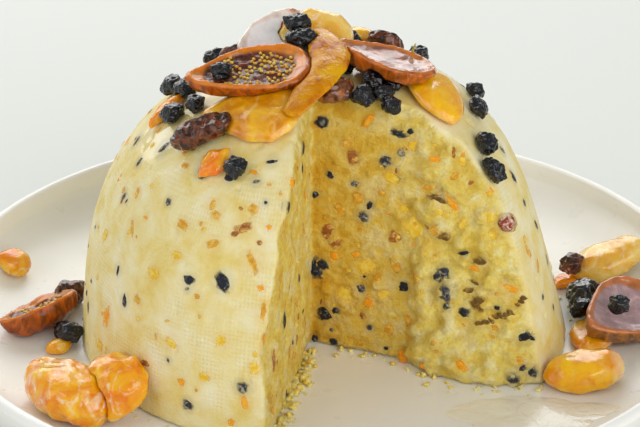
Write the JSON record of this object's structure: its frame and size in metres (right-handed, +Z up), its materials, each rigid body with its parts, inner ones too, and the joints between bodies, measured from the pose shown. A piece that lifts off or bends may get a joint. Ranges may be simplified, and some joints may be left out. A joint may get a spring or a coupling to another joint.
{
  "type": "paskha",
  "caption": "Domed sweet curd cheese with a slice cut out, dried and glazed fruit on top and round its foot, on a round coupe plate.",
  "frame": {"origin": "middle of the plate's foot, on the table", "axes": "+Z up; the missing slice opens towards -Y, so -Y faces the viewer"},
  "size_m": [0.27, 0.27, 0.1234],
  "materials": {
    "porcelain": "white glazed porcelain, glossy",
    "cheese": "pressed curd cheese, cream to yellow, matt and slightly moist, flecked with dried fruit",
    "fig": "syrup-soaked dried fig, tan-orange skin and glazed red-brown pulp",
    "apricot": "syrup-soaked apricot, translucent amber, glossy",
    "peel": "candied orange peel, glossy",
    "raisin": "soaked raisin, glossy red-brown",
    "currant": "dried currant, blue-black, wrinkled"
  },
  "bodies": {
    "root": {"apricot_back": "apricot", "apricot_behind": "apricot", "apricot_far_left": "apricot", "apricot_far_right": "apricot", "apricot_foot_left_1": "apricot", "apricot_foot_left_2": "apricot", "apricot_foot_right": "apricot", "apricot_rear": "apricot", "apricot_right": "apricot", "apricot_slice": "apricot", "apricot_small": "apricot", "apricot_strap": "apricot", "apricot_under": "apricot", "cheese": "cheese", "currant_1": "currant", "currant_10": "currant", "currant_11": "currant", "currant_12": "currant", "currant_13": "currant", "currant_14": "currant", "currant_15": "currant", "currant_16": "currant", "currant_17": "currant", "currant_18": "currant", "currant_19": "currant", "currant_2": "currant", "currant_3": "currant", "currant_4": "currant", "currant_5": "currant", "currant_6": "currant", "currant_7": "currant", "currant_8": "currant", "currant_9": "currant", "currant_behind": "currant", "currant_foot_1": "currant", "currant_foot_2": "currant", "currant_foot_3": "currant", "currant_foot_4": "currant", "currant_high_1": "currant", "currant_high_2": "currant", "currant_on_fig": "currant", "fig_back": "fig", "fig_behind": "fig", "fig_foot_left": "fig", "fig_foot_right": "fig", "fig_front": "fig", "fig_right": "fig", "peel_foot_right": "peel", "peel_front": "peel", "peel_left": "peel", "plate": "porcelain", "prune": "currant", "raisin_back": "raisin", "raisin_behind": "raisin", "raisin_centre": "raisin", "raisin_crest": "raisin", "raisin_foot_left": "raisin", "raisin_foot_right": "raisin", "raisin_front": "raisin"}
  },
  "joints": []
}
